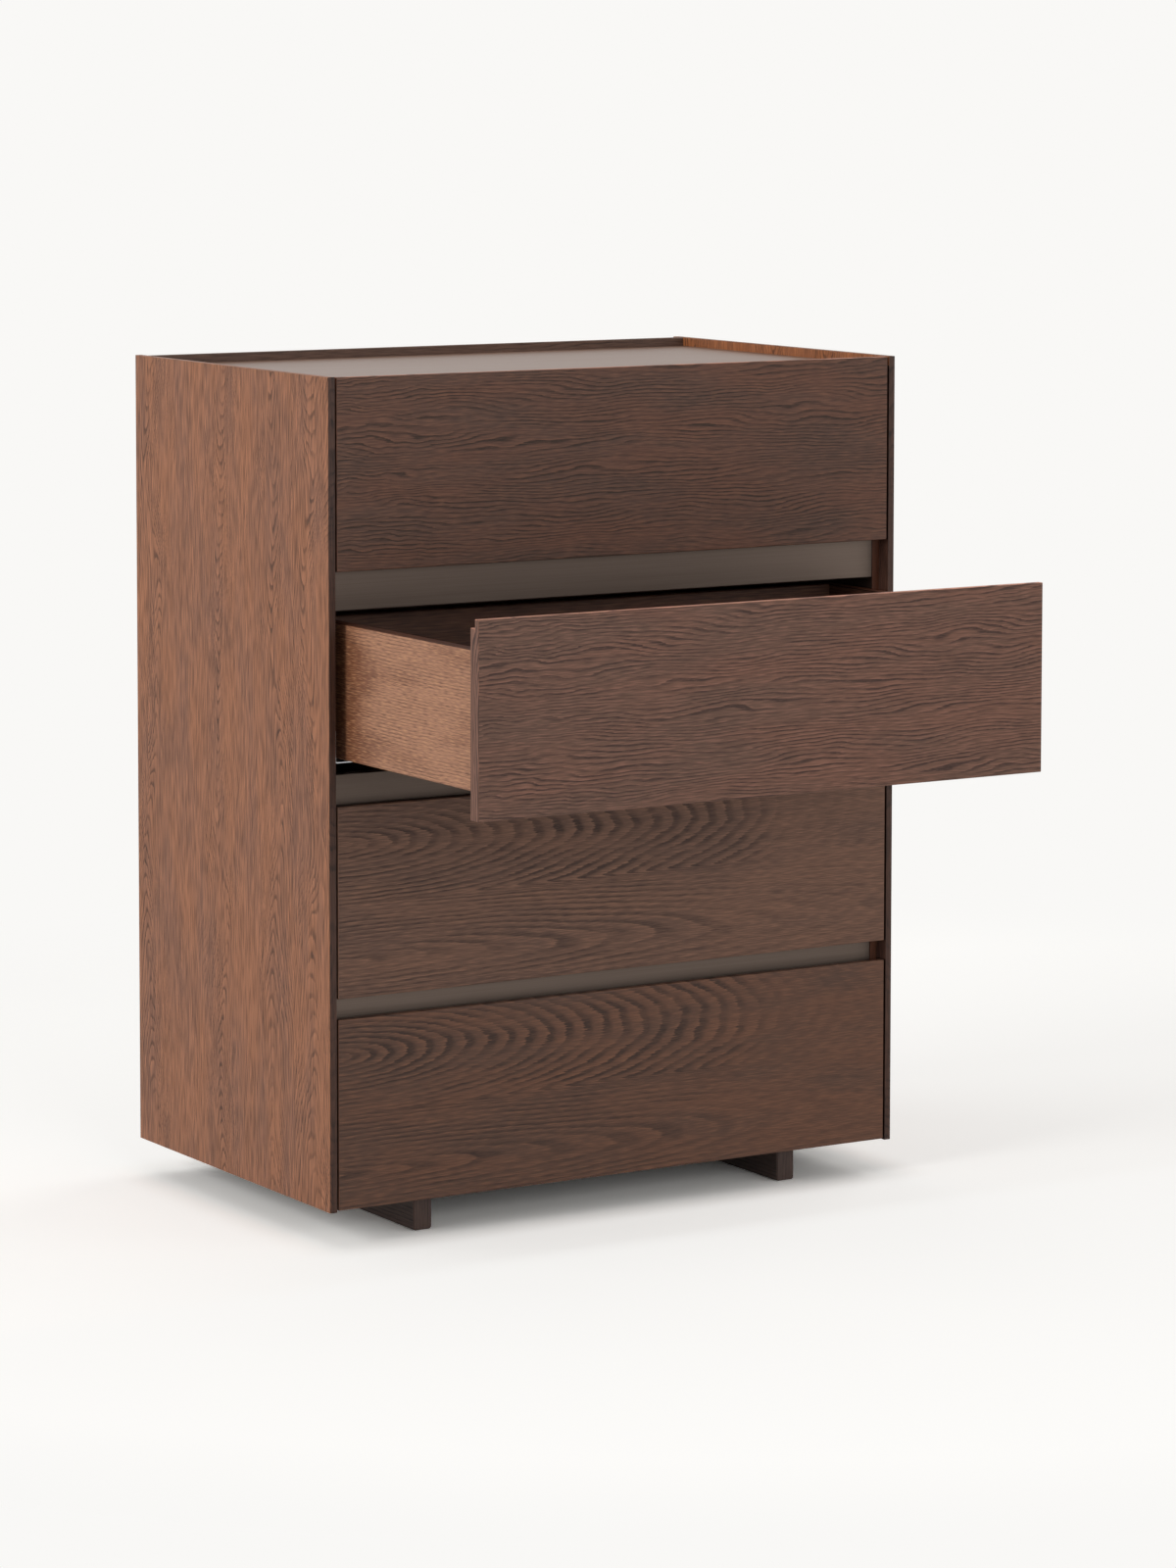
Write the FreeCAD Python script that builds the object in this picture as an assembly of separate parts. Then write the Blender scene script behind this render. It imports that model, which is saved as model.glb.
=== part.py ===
import FreeCAD, Part
import math
import os

# Chest with four drawers on two skids, in millimetres.
# +X is the chest's left to right as its user sees it, +Y runs to the back, +Z is up.
# The origin is on the floor, under the middle of the chest and its open drawer.

# Carcass, outside
carcass_width = 800.0
carcass_depth = 497.0
side_height = 984.0

# Sides: a thin veneered panel outside, whose rims show in front and on top, and a board inside
side_panel_thickness = 9.0
side_board_thickness = 10.0
side_board_setback = 20.0
side_edge_radius = 1.5
rim_chamfer = 0.4

# Top, bottom and back
tray_depth = 11.0
top_thickness = 19.0
bottom_thickness = 19.0
back_thickness = 8.0
back_inset = 16.0
back_edge_radius = 1.0
board_clearance = 0.25

# Skids
skid_height = 41.5
skid_width = 25.0
skid_inset = 140.0
skid_end_setback = 27.0
skid_edge_radius = 3.5
skid_end_chamfer = 1.5

# Drawer fronts
drawer_count = 4
front_thickness = 18.0
front_gap = 24.6
front_side_gap = 2.5
front_top_margin = 0.5
front_bottom_margin = 1.8
front_edge_radius = 1.0
front_end_chamfer = 0.5
lip_thickness = 8.0
lip_height = 10.5

# Drawer boxes
box_board_thickness = 15.0
box_side_gap = 5.0
box_rise = 29.5
box_top_drop = 37.475
box_rear_gap = 48.0
box_edge_radius = 1.0
box_bottom_thickness = 8.0
box_bottom_recess = 13.0
box_groove_depth = 7.0

# Drawer travel
open_drawer = "drawer_2"
open_share = 0.8125
travel_margin = 7.0
middle_travel_share = 0.5

# Metal strips between the fronts, folded over wooden rails
strip_sheet = 1.0
strip_bend_radius = 0.6
strip_flange = 12.0
strip_end_gap = 1.0
strip_rise_behind_front = 11.5
strip_drop_behind_front = 24.3
rail_thickness = 16.0
rail_edge_radius = 0.5

# Runners under the drawer boxes, three folded members on each side
runner_sheet = 1.2
runner_bend_radius = 0.8
runner_extra_length = 20.0
runner_setback = 20.0
runner_flange_rise = 33.0
runner_base_drop = 4.0
runner_base_width = 26.0
runner_track_width = 10.0
runner_gap = 0.5
runner_foot_gap = 0.8
runner_lip_gap = 0.5
runner_front_gap = 1.0
notch_clearance = 1.5

# Round fittings, drawn with flat sides to keep the model light
fitting_sides = 8
cam_sides = 12
fit_gap = 0.15
cam_radius = 7.5
cam_cover = 4.5
cam_distance = 24.0
cam_slot_width = 2.5
cam_slot_depth = 2.0
cam_bolt_radius = 2.0
cam_bolt_head_radius = 3.0
cam_bolt_head_length = 3.0
side_hole_cover = 2.0
dowel_radius = 4.0
dowel_length = 30.0
rail_dowel_spacing = 30.0

# Wood screws
skid_screw_head_radius = 4.0
skid_screw_head_height = 3.2
skid_screw_radius = 2.0
skid_screw_cover = 15.5
front_screw_head_radius = 4.0
front_screw_head_height = 2.4
front_screw_radius = 2.0
front_screw_cover = 6.0
front_screw_side_distance = 45.0
front_screw_edge_distance = 35.0
runner_screw_head_radius = 3.2
runner_screw_head_height = 1.6
runner_screw_radius = 1.75
runner_screw_cover = 1.0
runner_screw_rise = 14.0
runner_screw_front_distance = 37.0
runner_screw_rear_distance = 63.0
screw_point_share = 0.2

# Places of the fittings, as shares of the depth of the boards inside
carcass_cam_shares = (0.22, 0.78)
carcass_dowel_shares = (0.10, 0.90)
skid_screw_shares = (0.12, 0.50, 0.88)

# Every cut runs past the faces that it opens by this much
overrun = 1.0

# Drawer boxes are as long as the carcass leaves room for, and slide out nearly their length
box_length = carcass_depth - front_thickness - box_rear_gap - back_thickness - back_inset
full_travel = box_length - travel_margin
open_travel = open_share * full_travel

# Levels and planes that several pieces share
side_base = skid_height
side_top = side_base + side_height
front_plane = (open_travel - carcass_depth) / 2
rear_plane = front_plane + carcass_depth
board_plane = front_plane + side_board_setback
back_front_plane = rear_plane - back_inset - back_thickness
half_width = carcass_width / 2
rim_half = half_width - side_panel_thickness
inner_half = rim_half - side_board_thickness
tray_level = side_top - tray_depth
top_underside = tray_level - top_thickness
bottom_top = side_base + bottom_thickness
skid_middle = half_width - skid_inset
inside_depth = back_front_plane - board_plane

# Fronts are as high as the side panels leave room for
front_room = side_height - front_top_margin - front_bottom_margin
front_height = (front_room - (drawer_count - 1) * front_gap) / drawer_count
front_half = rim_half - front_side_gap
front_rear_plane = front_plane + front_thickness

# Drawer box
box_height = front_height - box_rise - box_top_drop
box_half = inner_half - box_side_gap
box_inner_half = box_half - box_board_thickness
box_rear_plane = front_rear_plane + box_length
box_front_rear_plane = front_rear_plane + box_board_thickness
box_back_front_plane = box_rear_plane - box_board_thickness

# Runners: each member wraps the one inside it, and the outermost carries the box's bottom.
# Their levels are measured from the lower edge of the drawer box.
runner_base_level = -(runner_base_drop + runner_sheet)
runner_wrap = runner_sheet + runner_gap
track_roof = box_bottom_recess - 2 * runner_wrap - runner_sheet
runner_front_plane = front_plane + runner_setback
runner_rear_plane = runner_front_plane + full_travel + runner_extra_length
track_front_plane = box_front_rear_plane + runner_front_gap

# Depths and lengths that leave a cover of wood over the end of a fitting
side_hole_depth = side_panel_thickness - side_hole_cover
skid_screw_length = bottom_thickness + skid_height - skid_screw_cover
front_screw_length = box_board_thickness + front_thickness - front_screw_cover
runner_screw_length = runner_sheet + side_board_thickness - runner_screw_cover


# Outlines with eased corners

def eased_wire(points, radii, flat):
    """Closed wire with its own radius at each point, eased by an arc, or by a flat."""
    corners = []
    count = len(points)
    for index in range(count):
        corner = points[index]
        radius = radii[index]
        to_last = (points[index - 1] - corner).normalize()
        to_next = (points[(index + 1) % count] - corner).normalize()
        if radius == 0:
            corners.append((corner, None, corner))
            continue
        half_angle = to_last.getAngle(to_next) / 2
        setback = radius / math.tan(half_angle)
        bisector = (to_last + to_next).normalize()
        middle = corner + bisector * (radius / math.sin(half_angle) - radius)
        corners.append((corner + to_last * setback, middle, corner + to_next * setback))
    edges = []
    for index in range(count):
        start, middle, end = corners[index]
        if middle is not None and flat:
            edges.append(Part.LineSegment(start, end).toShape())
        elif middle is not None:
            edges.append(Part.Arc(start, middle, end).toShape())
        following = corners[(index + 1) % count][0]
        edges.append(Part.LineSegment(end, following).toShape())
    return Part.Wire(edges)


def extruded(points, radii, direction, flat):
    """Solid of an eased outline, pushed along the direction."""
    return Part.Face(eased_wire(points, radii, flat)).extrude(direction)


def along_x(outline, radii, x_low, x_high, flat=False):
    """Solid between two X planes from an outline of (y, z) pairs."""
    points = [FreeCAD.Vector(x_low, y, z) for y, z in outline]
    return extruded(points, radii, FreeCAD.Vector(x_high - x_low, 0, 0), flat)


def along_y(outline, radii, y_low, y_high, flat=False):
    """Solid between two Y planes from an outline of (x, z) pairs."""
    points = [FreeCAD.Vector(x, y_low, z) for x, z in outline]
    return extruded(points, radii, FreeCAD.Vector(0, y_high - y_low, 0), flat)


def along_z(outline, radii, z_low, z_high, flat=False):
    """Solid between two Z planes from an outline of (x, y) pairs."""
    points = [FreeCAD.Vector(x, y, z_low) for x, y in outline]
    return extruded(points, radii, FreeCAD.Vector(0, 0, z_high - z_low), flat)


def box(x_low, x_high, y_low, y_high, z_low, z_high):
    """Plain block between two corners."""
    corner = FreeCAD.Vector(x_low, y_low, z_low)
    return Part.makeBox(x_high - x_low, y_high - y_low, z_high - z_low, corner)


def rectangle(a_low, a_high, b_low, b_high):
    """Four corners of a rectangle as pairs."""
    return [(a_low, b_low), (a_high, b_low), (a_high, b_high), (a_low, b_high)]


def folded_outline(path, thickness, bend_radius):
    """Outline and radii of a bent sheet that lies to the left of an open path."""
    directions = []
    for start, end in zip(path[:-1], path[1:]):
        length = math.hypot(end[0] - start[0], end[1] - start[1])
        directions.append(((end[0] - start[0]) / length, (end[1] - start[1]) / length))
    outer = []
    outer_radii = []
    inner = []
    inner_radii = []
    last = len(path) - 1
    for index, point in enumerate(path):
        before = directions[max(index - 1, 0)]
        after = directions[min(index, last - 1)]
        normal_sum = (-before[1] - after[1], before[0] + after[0])
        scale = thickness / (1 + before[0] * after[0] + before[1] * after[1])
        turn = before[0] * after[1] - before[1] * after[0]
        outer.append(point)
        inner.append((point[0] + normal_sum[0] * scale, point[1] + normal_sum[1] * scale))
        if turn > 0:
            outer_radii.append(bend_radius + thickness)
            inner_radii.append(bend_radius)
        elif turn < 0:
            outer_radii.append(bend_radius)
            inner_radii.append(bend_radius + thickness)
        else:
            outer_radii.append(0)
            inner_radii.append(0)
    return outer + inner[::-1], outer_radii + inner_radii[::-1]


def cut_all(shape, tools):
    """Shape with every tool taken away."""
    if tools:
        shape = shape.cut(Part.makeCompound(tools))
    return shape


def same(first, second):
    """Whether two places are one, within the model's precision."""
    return math.isclose(first, second, rel_tol=0, abs_tol=fit_gap / 10)


def edges_where(shape, test):
    """Edges whose every corner passes the test."""
    return [edge for edge in shape.Edges if all(test(vertex.Point) for vertex in edge.Vertexes)]


def side_span(side, near, far):
    """X range between two distances from the middle, on one side of the chest."""
    return sorted((side * near, side * far))


def ring(distance, radius, sides):
    """Corners of one level of a turned solid, or its one point where the radius is 0."""
    if radius == 0:
        return [FreeCAD.Vector(0, 0, distance)]
    angles = [math.tau * (step + 0.5) / sides for step in range(sides)]
    return [FreeCAD.Vector(radius * math.cos(angle), radius * math.sin(angle), distance)
            for angle in angles]


def ring_faces(lower, upper):
    """Flat faces between two levels of a turned solid."""
    if len(lower) == 1 or len(upper) == 1:
        point = lower[0] if len(lower) == 1 else upper[0]
        rim = upper if len(lower) == 1 else lower
        if same(point.z, rim[0].z):
            return [Part.Face(Part.makePolygon(rim + rim[:1]))]
        pairs = zip(rim, rim[1:] + rim[:1])
        return [Part.Face(Part.makePolygon([first, second, point, first])) for first, second in pairs]
    if same(lower[0].z, upper[0].z):
        rings = [Part.makePolygon(rim + rim[:1]) for rim in (lower, upper)]
        rings.sort(key=lambda wire: wire.BoundBox.DiagonalLength, reverse=True)
        return [Part.Face(rings)]
    faces = []
    for index in range(len(lower)):
        following = (index + 1) % len(lower)
        corners = [lower[index], lower[following], upper[following], upper[index], lower[index]]
        faces.append(Part.Face(Part.makePolygon(corners)))
    return faces


def turned(outline, start, direction, sides):
    """Turned solid with flat sides, from (distance, radius) pairs along the direction from start."""
    rings = [ring(distance, radius, sides) for distance, radius in outline]
    faces = []
    for lower, upper in zip(rings[:-1], rings[1:]):
        faces += ring_faces(lower, upper)
    solid = Part.Solid(Part.Shell(faces))
    if solid.Volume < 0:
        solid.reverse()
    rotation = FreeCAD.Rotation(FreeCAD.Vector(0, 0, 1), direction)
    solid.rotate(FreeCAD.Vector(0, 0, 0), rotation.Axis, math.degrees(rotation.Angle))
    solid.translate(start)
    return solid


def bore(start, direction, depth, radius, sides):
    """Cutting tool for a hole that a turned piece fits, begun the overrun before its mouth."""
    outline = [(-overrun, 0), (-overrun, radius), (depth, radius), (depth, 0)]
    return turned(outline, start, direction, sides)


# Places of the fittings

def depth_places(shares):
    """Y places along the boards inside, from shares."""
    return [board_plane + share * inside_depth for share in shares]


def front_bottom_level(number):
    """Height of the lower edge of a drawer front, counted from the top."""
    fronts = number * front_height
    gaps = (number - 1) * front_gap
    return side_top - front_top_margin - fronts - gaps


def box_level(number):
    """Height of the lower edge of a drawer box."""
    return front_bottom_level(number) + box_rise


def strip_levels(number):
    """Lower and upper edge of the metal strip under a drawer front."""
    upper_front = front_bottom_level(number)
    lower_front_top = upper_front - front_gap
    return lower_front_top - strip_drop_behind_front, upper_front + strip_rise_behind_front


def rail_centre(number):
    """Y and Z of the middle of a rail."""
    low, high = strip_levels(number)
    return board_plane + strip_sheet + rail_thickness / 2, (low + high) / 2


# Half width, underside and thickness of the two boards that the sides are bolted to
top_board = (rim_half, top_underside, top_thickness)
bottom_board = (inner_half, side_base, bottom_thickness)


def board_joint_places(board, side, shares):
    """Places of the bolts or dowels in one end of a bolted board, on its joint face."""
    half, underside, thickness = board
    level = underside + thickness / 2
    return [FreeCAD.Vector(side * half, y, level) for y in depth_places(shares)]


def rail_dowels(side, number):
    """Dowel places at one end of a rail."""
    y, middle = rail_centre(number)
    offsets = (-rail_dowel_spacing / 2, rail_dowel_spacing / 2)
    return [FreeCAD.Vector(side * inner_half, y, middle + offset) for offset in offsets]


def runner_screw_places(side, number):
    """Screw places of one cabinet rail, on the face of the side board."""
    height = box_level(number) + runner_screw_rise
    places = (runner_front_plane + runner_screw_front_distance,
              runner_rear_plane - runner_screw_rear_distance)
    return [FreeCAD.Vector(side * inner_half, y, height) for y in places]


def skid_screw_places(side):
    """Screw places of one skid, on the upper face of the bottom panel."""
    places = depth_places(skid_screw_shares)
    return [FreeCAD.Vector(side * skid_middle, y, bottom_top) for y in places]


# Fittings

def dowel(face_point, side):
    """Wooden pin across a joint."""
    inwards = FreeCAD.Vector(-side, 0, 0)
    outline = [(0, 0), (0, dowel_radius), (dowel_length, dowel_radius), (dowel_length, 0)]
    start = face_point - inwards * (side_hole_depth - fit_gap)
    return turned(outline, start, inwards, fitting_sides)


def dowel_holes(face_point, side):
    """Bores for one dowel: in the side, and in the board that meets it."""
    inwards = FreeCAD.Vector(-side, 0, 0)
    radius = dowel_radius + fit_gap
    board_depth = dowel_length - side_hole_depth + 2 * fit_gap
    return (bore(face_point, -inwards, side_hole_depth, radius, fitting_sides),
            bore(face_point, inwards, board_depth, radius, fitting_sides))


def cam_bolt(face_point, side):
    """Steel bolt: one end in the side, its head in the cam."""
    inwards = FreeCAD.Vector(-side, 0, 0)
    neck_end = side_hole_depth - fit_gap + cam_distance - cam_bolt_head_length / 2
    head_end = neck_end + cam_bolt_head_length
    outline = [(0, 0), (0, cam_bolt_radius), (neck_end, cam_bolt_radius),
               (neck_end, cam_bolt_head_radius), (head_end, cam_bolt_head_radius), (head_end, 0)]
    start = face_point - inwards * (side_hole_depth - fit_gap)
    return turned(outline, start, inwards, fitting_sides)


def cam_bolt_side_hole(face_point, side):
    """Bore for the end of a cam bolt in the side."""
    outwards = FreeCAD.Vector(side, 0, 0)
    return bore(face_point, outwards, side_hole_depth, cam_bolt_radius + fit_gap, fitting_sides)


def cam_bolt_panel_hole(face_point, side):
    """Bore from the end of a panel to its cam."""
    inwards = FreeCAD.Vector(-side, 0, 0)
    return bore(face_point, inwards, cam_distance, cam_bolt_head_radius + fit_gap, fitting_sides)


def cam_seat(face_point, side, board):
    """Bore for a cam in the underside of a board."""
    half, underside, thickness = board
    place = FreeCAD.Vector(face_point.x - side * cam_distance, face_point.y, underside)
    depth = thickness - cam_cover + fit_gap
    return bore(place, FreeCAD.Vector(0, 0, 1), depth, cam_radius + fit_gap, cam_sides)


def cam_lock(face_point, side, board):
    """Round cam with the hollow that draws in the bolt's head, and a slot for the driver."""
    half, underside, thickness = board
    centre_x = face_point.x - side * cam_distance
    place = FreeCAD.Vector(centre_x, face_point.y, underside)
    height = thickness - cam_cover
    outline = [(0, 0), (0, cam_radius), (height, cam_radius), (height, 0)]
    cam = turned(outline, place, FreeCAD.Vector(0, 0, 1), cam_sides)
    mouth = FreeCAD.Vector(centre_x + side * cam_radius, face_point.y, face_point.z)
    inwards = FreeCAD.Vector(-side, 0, 0)
    hollow = bore(mouth, inwards, cam_radius + cam_bolt_head_length,
                  cam_bolt_head_radius + fit_gap, fitting_sides)
    slot = box(centre_x - cam_radius, centre_x + cam_radius,
               face_point.y - cam_slot_width / 2, face_point.y + cam_slot_width / 2,
               underside - overrun, underside + cam_slot_depth)
    return cam.cut(hollow).cut(slot)


def pan_head_screw(face_point, direction, head_radius, head_height, shank_radius, length):
    """Wood screw whose head sits on the face and whose shank runs along the direction."""
    point = length * (1 - screw_point_share)
    outline = [(-head_height, 0), (-head_height, head_radius), (0, head_radius),
               (0, shank_radius), (point, shank_radius), (length, 0)]
    return turned(outline, face_point, direction, fitting_sides)


def skid_screw(place):
    """Countersunk screw through the bottom panel into a skid."""
    down = FreeCAD.Vector(0, 0, -1)
    point = skid_screw_length * (1 - screw_point_share)
    outline = [(0, 0), (0, skid_screw_head_radius), (skid_screw_head_height, skid_screw_radius),
               (point, skid_screw_radius), (skid_screw_length, 0)]
    return turned(outline, place, down, fitting_sides)


def skid_screw_hole(place):
    """Countersunk hole that clears a skid screw all along."""
    down = FreeCAD.Vector(0, 0, -1)
    head_radius = skid_screw_head_radius + fit_gap
    radius = skid_screw_radius + fit_gap
    outline = [(-overrun, 0), (-overrun, head_radius), (fit_gap, head_radius),
               (skid_screw_head_height + fit_gap, radius),
               (skid_screw_length + fit_gap, radius), (skid_screw_length + fit_gap, 0)]
    return turned(outline, place, down, fitting_sides)


# Carcass

def side_holes(board, side):
    """Bores in a side for the bolts and dowels of one board."""
    bolts = board_joint_places(board, side, carcass_cam_shares)
    dowels = board_joint_places(board, side, carcass_dowel_shares)
    tools = [cam_bolt_side_hole(place, side) for place in bolts]
    return tools + [dowel_holes(place, side)[0] for place in dowels]


def side_panel(side):
    """Veneered outer panel with rounded upright edges, bored for the top board."""
    outline = [(side * rim_half, front_plane), (side * half_width, front_plane),
               (side * half_width, rear_plane), (side * rim_half, rear_plane)]
    radii = [0, side_edge_radius, side_edge_radius, 0]
    panel = along_z(outline, radii, side_base, side_top)
    top_edges = edges_where(panel, lambda p: same(p.z, side_top))
    panel = panel.makeChamfer(rim_chamfer, top_edges)
    return cut_all(panel, side_holes(top_board, side))


def side_board(side):
    """Inner board glued to the outer panel, bored for the bottom, the rails and the runners."""
    x_low, x_high = side_span(side, inner_half, rim_half)
    board = box(x_low, x_high, board_plane, back_front_plane - board_clearance,
                side_base, top_underside)
    tools = side_holes(bottom_board, side)
    for number in range(1, drawer_count):
        tools += [dowel_holes(place, side)[0] for place in rail_dowels(side, number)]
    outwards = FreeCAD.Vector(side, 0, 0)
    depth = runner_screw_length - runner_sheet + fit_gap
    for number in range(1, drawer_count + 1):
        for place in runner_screw_places(side, number):
            tools.append(bore(place, outwards, depth, runner_screw_radius + fit_gap, fitting_sides))
    return cut_all(board, tools)


def bolted_board(board):
    """Board as deep as the side boards, bored for its cams, bolts and dowels."""
    half, underside, thickness = board
    solid = box(-half, half, board_plane, back_front_plane - board_clearance,
                underside, underside + thickness)
    tools = []
    for side in (-1, 1):
        for place in board_joint_places(board, side, carcass_cam_shares):
            tools.append(cam_bolt_panel_hole(place, side))
            tools.append(cam_seat(place, side, board))
        for place in board_joint_places(board, side, carcass_dowel_shares):
            tools.append(dowel_holes(place, side)[1])
    return cut_all(solid, tools)


def top_panel():
    """Lacquered board that rests on the side boards, below the rims."""
    return bolted_board(top_board)


def bottom_panel():
    """Bottom board between the side boards, bored for the screws of the skids."""
    tools = [skid_screw_hole(place) for side in (-1, 1) for place in skid_screw_places(side)]
    return cut_all(bolted_board(bottom_board), tools)


def back_panel():
    """Veneered back between the outer panels, behind the boards and as high as the rims."""
    half = rim_half - board_clearance
    outline = rectangle(back_front_plane, back_front_plane + back_thickness, side_base, side_top)
    radii = [0, 0, back_edge_radius, back_edge_radius]
    return along_x(outline, radii, -half, half, flat=True)


def rail(number):
    """Wooden cross rail that fills a metal strip, bored for its dowels."""
    low, high = strip_levels(number)
    y_low = board_plane + strip_sheet
    outline = rectangle(y_low, y_low + rail_thickness, low + strip_sheet, high - strip_sheet)
    radii = [strip_bend_radius, rail_edge_radius, rail_edge_radius, strip_bend_radius]
    board = along_x(outline, radii, -inner_half, inner_half, flat=True)
    tools = []
    for side in (-1, 1):
        tools += [dowel_holes(place, side)[1] for place in rail_dowels(side, number)]
    return cut_all(board, tools)


def strip(number):
    """Metal strip folded over the front of a rail."""
    low, high = strip_levels(number)
    depth = board_plane + strip_flange
    path = [(depth, high), (board_plane, high), (board_plane, low), (depth, low)]
    outline, radii = folded_outline(path, strip_sheet, strip_bend_radius)
    half = inner_half - strip_end_gap
    return along_x(outline, radii, -half, half)


def skid(side):
    """Front-to-back foot with rounded edges."""
    middle = side * skid_middle
    outline = rectangle(middle - skid_width / 2, middle + skid_width / 2, 0, skid_height)
    radii = [skid_edge_radius, skid_edge_radius, 0, 0]
    front = front_plane + skid_end_setback
    rear = rear_plane - skid_end_setback
    foot = along_y(outline, radii, front, rear)
    ends = edges_where(foot, lambda p: same(p.y, front)) + edges_where(foot, lambda p: same(p.y, rear))
    ends = [edge for edge in ends if not same(edge.CenterOfMass.z, skid_height)]
    foot = foot.makeChamfer(skid_end_chamfer, ends)
    return cut_all(foot, [skid_screw_hole(place) for place in skid_screw_places(side)])


# Drawers

def drawer_shift(number):
    """How far a drawer stands open, as a move along Y."""
    return -open_travel if f"drawer_{number}" == open_drawer else 0


def drawer_front(number):
    """Veneered front, cut away behind its top edge to leave a lip for the fingers."""
    low = front_bottom_level(number)
    high = low + front_height
    lip_plane = front_plane + lip_thickness
    outline = [(front_plane, low), (front_rear_plane, low), (front_rear_plane, high - lip_height),
               (lip_plane, high - lip_height), (lip_plane, high), (front_plane, high)]
    radii = [front_edge_radius, 0, 0, 0, 0, front_edge_radius]
    front = along_x(outline, radii, -front_half, front_half)
    ends = edges_where(front, lambda p: same(p.x, front_half))
    ends += edges_where(front, lambda p: same(p.x, -front_half))
    front = front.makeChamfer(front_end_chamfer, ends)
    depth = front_screw_length - box_board_thickness + fit_gap
    tools = [bore(place, FreeCAD.Vector(0, -1, 0), depth, front_screw_radius + fit_gap, fitting_sides)
             for place in front_screw_places(number, front_rear_plane)]
    return cut_all(front, tools)


def front_screw_places(number, plane):
    """Places of the four screws of a front, on one plane."""
    level = box_level(number)
    heights = (level + front_screw_edge_distance, level + box_height - front_screw_edge_distance)
    half = box_inner_half - front_screw_side_distance
    return [FreeCAD.Vector(side * half, plane, z) for side in (-1, 1) for z in heights]


def bottom_groove(number, x_low, x_high, y_low, y_high):
    """Groove for the bottom board of a drawer."""
    low = box_level(number) + box_bottom_recess
    return box(x_low, x_high, y_low, y_high,
               low - board_clearance, low + box_bottom_thickness + board_clearance)


def box_front(number):
    """Inner front of the box, which the drawer front is screwed to."""
    low = box_level(number)
    outline = rectangle(front_rear_plane, box_front_rear_plane, low, low + box_height)
    radii = [0, 0, box_edge_radius, 0]
    board = along_x(outline, radii, -box_inner_half, box_inner_half, flat=True)
    tools = [bottom_groove(number, -half_width, half_width,
                           box_front_rear_plane - box_groove_depth, box_front_rear_plane + overrun)]
    for place in front_screw_places(number, box_front_rear_plane):
        tools.append(bore(place, FreeCAD.Vector(0, -1, 0), box_board_thickness + overrun,
                          front_screw_radius + fit_gap, fitting_sides))
    return cut_all(board, tools)


def box_side(number, side):
    """Long side of the box, grooved for the bottom."""
    low = box_level(number)
    outline = [(side * box_inner_half, low), (side * box_half, low),
               (side * box_half, low + box_height), (side * box_inner_half, low + box_height)]
    radii = [0, box_edge_radius, box_edge_radius, box_edge_radius]
    board = along_y(outline, radii, front_rear_plane, box_rear_plane, flat=True)
    x_low, x_high = side_span(side, box_inner_half - overrun, box_inner_half + box_groove_depth)
    groove = bottom_groove(number, x_low, x_high, box_front_rear_plane - box_groove_depth,
                           box_back_front_plane + box_groove_depth)
    return board.cut(groove)


def box_back(number):
    """Back of the box, notched at its lower corners where the runners pass."""
    low = box_level(number)
    outline = rectangle(box_back_front_plane, box_rear_plane, low, low + box_height)
    radii = [0, 0, box_edge_radius, box_edge_radius]
    board = along_x(outline, radii, -box_inner_half, box_inner_half, flat=True)
    tools = [bottom_groove(number, -half_width, half_width,
                           box_back_front_plane - overrun, box_back_front_plane + box_groove_depth)]
    far_wall = runner_base_width + runner_track_width + 2 * runner_wrap + runner_sheet
    notch_near = inner_half - far_wall - notch_clearance
    for side in (-1, 1):
        x_low, x_high = side_span(side, notch_near, box_inner_half + overrun)
        tools.append(box(x_low, x_high, box_back_front_plane - overrun, box_rear_plane + overrun,
                         low - overrun, low + box_bottom_recess))
    return cut_all(board, tools)


def box_bottom(number):
    """Bottom board of a drawer, in the grooves of all four walls."""
    low = box_level(number) + box_bottom_recess
    reach = box_groove_depth - board_clearance
    return box(-box_inner_half - reach, box_inner_half + reach,
               box_front_rear_plane - reach, box_back_front_plane + reach,
               low, low + box_bottom_thickness)


def front_screws(number):
    """Four screws through the inner front into the drawer front."""
    return [pan_head_screw(place, FreeCAD.Vector(0, -1, 0), front_screw_head_radius,
                           front_screw_head_height, front_screw_radius, front_screw_length)
            for place in front_screw_places(number, box_front_rear_plane)]


# Runners

def runner_member(path, number, side, y_low, y_high):
    """Bent sheet from a path of (distance from the side, height from the box's lower edge)."""
    outline, radii = folded_outline(path, runner_sheet, runner_bend_radius)
    low = box_level(number)
    placed = [(side * (inner_half - distance), low + height) for distance, height in outline]
    return along_y(placed, radii, y_low, y_high, flat=True)


def channel_path(wraps, near_foot, far_foot):
    """Path of a raised channel that wraps the track a number of times, none for the track."""
    near = runner_base_width - wraps * runner_wrap
    far = runner_base_width + runner_track_width + wraps * runner_wrap
    roof = track_roof + wraps * runner_wrap
    return [(near, near_foot), (near, roof), (far, roof), (far, far_foot)]


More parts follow.
